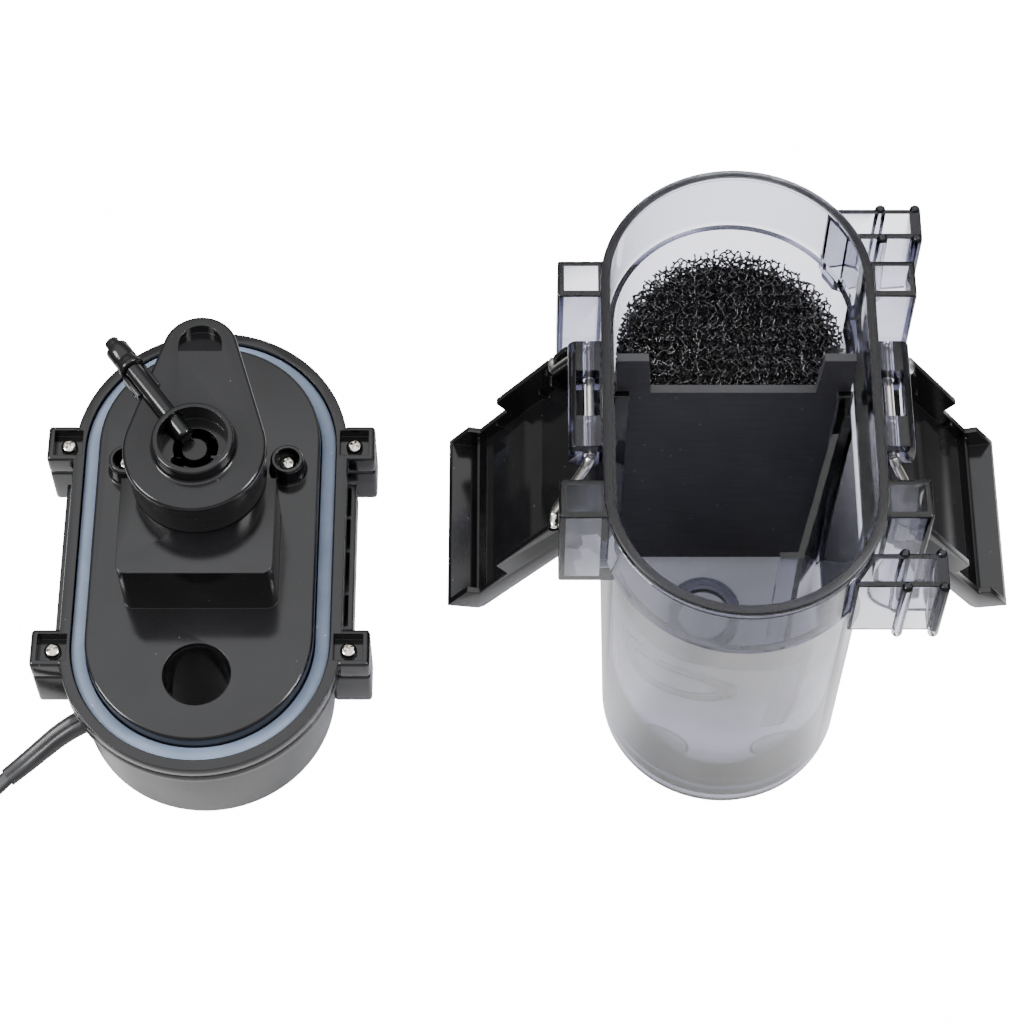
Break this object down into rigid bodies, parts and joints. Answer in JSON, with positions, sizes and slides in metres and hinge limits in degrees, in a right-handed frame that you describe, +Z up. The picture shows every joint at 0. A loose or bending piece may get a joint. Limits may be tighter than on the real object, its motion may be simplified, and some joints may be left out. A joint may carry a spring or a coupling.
{
  "type": "internal power filter",
  "caption": "Small aquarium canister filter, opened: upturned motor head with pump beside a clear tank with foam and side latches.",
  "frame": {"origin": "centre of the footprint of the head and the canister together, on the bench that both stand on", "axes": "+X from the upturned head to the canister, +Y along the long way of both, away from the camera, +Z up from the bench"},
  "size_m": [0.4157, 0.1779, 0.146],
  "materials": {
    "clear": "clear smoke-tinted moulded plastic, lightly scuffed",
    "pads": "pale soft rubber",
    "black_gloss": "glossy black moulded plastic",
    "black_satin": "satin black moulded plastic",
    "charcoal": "matt charcoal sheet with paler cut edges",
    "foam": "open-cell black filter foam",
    "silicone": "grey-blue silicone rubber",
    "steel": "bright nickel-plated steel",
    "copper": "enamelled copper winding",
    "magnet": "dark ferrite",
    "ceramic": "polished white ceramic",
    "resin": "cast black resin",
    "cord": "soft black cord jacket",
    "brass": "bright brass"
  },
  "bodies": {
    "canister": {"canister": "clear", "foot_pad_1": "pads", "foot_pad_2": "pads", "foot_pad_3": "pads", "foot_pad_4": "pads", "duct_panel": "clear"},
    "divider": {"divider_plate": "charcoal"},
    "foam": {"foam_block": "foam"},
    "left_bail": {"left_bail_wire": "steel"},
    "left_lever": {"left_latch_lever": "black_gloss"},
    "right_bail": {"right_bail_wire": "steel"},
    "right_lever": {"right_latch_lever": "black_gloss"},
    "head": {"head_casing": "black_satin", "base_plate": "black_satin", "seal_ring": "silicone", "corner_screw_1": "steel", "corner_screw_2": "steel", "corner_screw_3": "steel", "corner_screw_4": "steel", "plate_screw_1": "steel", "plate_screw_2": "steel", "volute_housing": "black_satin", "impeller_cover": "black_gloss", "air_tube": "black_satin", "air_tube_cap": "black_satin", "stator_core": "steel", "stator_coil": "copper", "potting_resin": "resin", "impeller_shaft": "ceramic", "lower_bush": "pads", "upper_bush": "pads", "inlet_socket": "black_satin", "outlet_socket": "black_satin", "cord_relief": "cord", "cord": "cord", "cord_coil": "cord", "cord_tail": "cord", "cord_tie": "black_satin", "plug_body": "cord", "plug_pin_1": "brass", "plug_pin_2": "brass"},
    "rotor": {"impeller": "black_satin", "rotor_magnet": "magnet"}
  },
  "joints": [
    {"name": "head_lift", "type": "slide", "parent": "canister", "child": "head", "axis": [0, 0, 1], "range_m": [0, 0.25]},
    {"name": "impeller_spin", "type": "hinge", "parent": "head", "child": "rotor", "pos_m": [-0.101, 0.0098, 0.065], "axis": [0, 0, 1], "continuous": true},
    {"name": "divider_lift", "type": "slide", "parent": "canister", "child": "divider", "axis": [0, 0, 1], "range_m": [0, 0.142]},
    {"name": "foam_lift", "type": "slide", "parent": "canister", "child": "foam", "axis": [0, 0, 1], "range_m": [0, 0.142]},
    {"name": "left_bail_swing", "type": "hinge", "parent": "canister", "child": "left_bail", "pos_m": [0.0235, 0, 0.1341], "axis": [0, 1, 0], "range_deg": [-27.5, 0]},
    {"name": "left_lever_swing", "type": "hinge", "parent": "left_bail", "child": "left_lever", "pos_m": [0.0128, 0, 0.11084], "axis": [0, 1, 0], "range_deg": [0, 172.7]},
    {"name": "right_bail_swing", "type": "hinge", "parent": "canister", "child": "right_bail", "pos_m": [0.1145, 0, 0.1341], "axis": [0, -1, 0], "range_deg": [-27.5, 0]},
    {"name": "right_lever_swing", "type": "hinge", "parent": "right_bail", "child": "right_lever", "pos_m": [0.1252, 0, 0.11084], "axis": [0, -1, 0], "range_deg": [0, 172.7]}
  ],
  "couplings": [
    {"joint": "left_bail_swing", "follows": "left_lever_swing", "ratio": -0.1587},
    {"joint": "right_bail_swing", "follows": "right_lever_swing", "ratio": -0.1587}
  ]
}
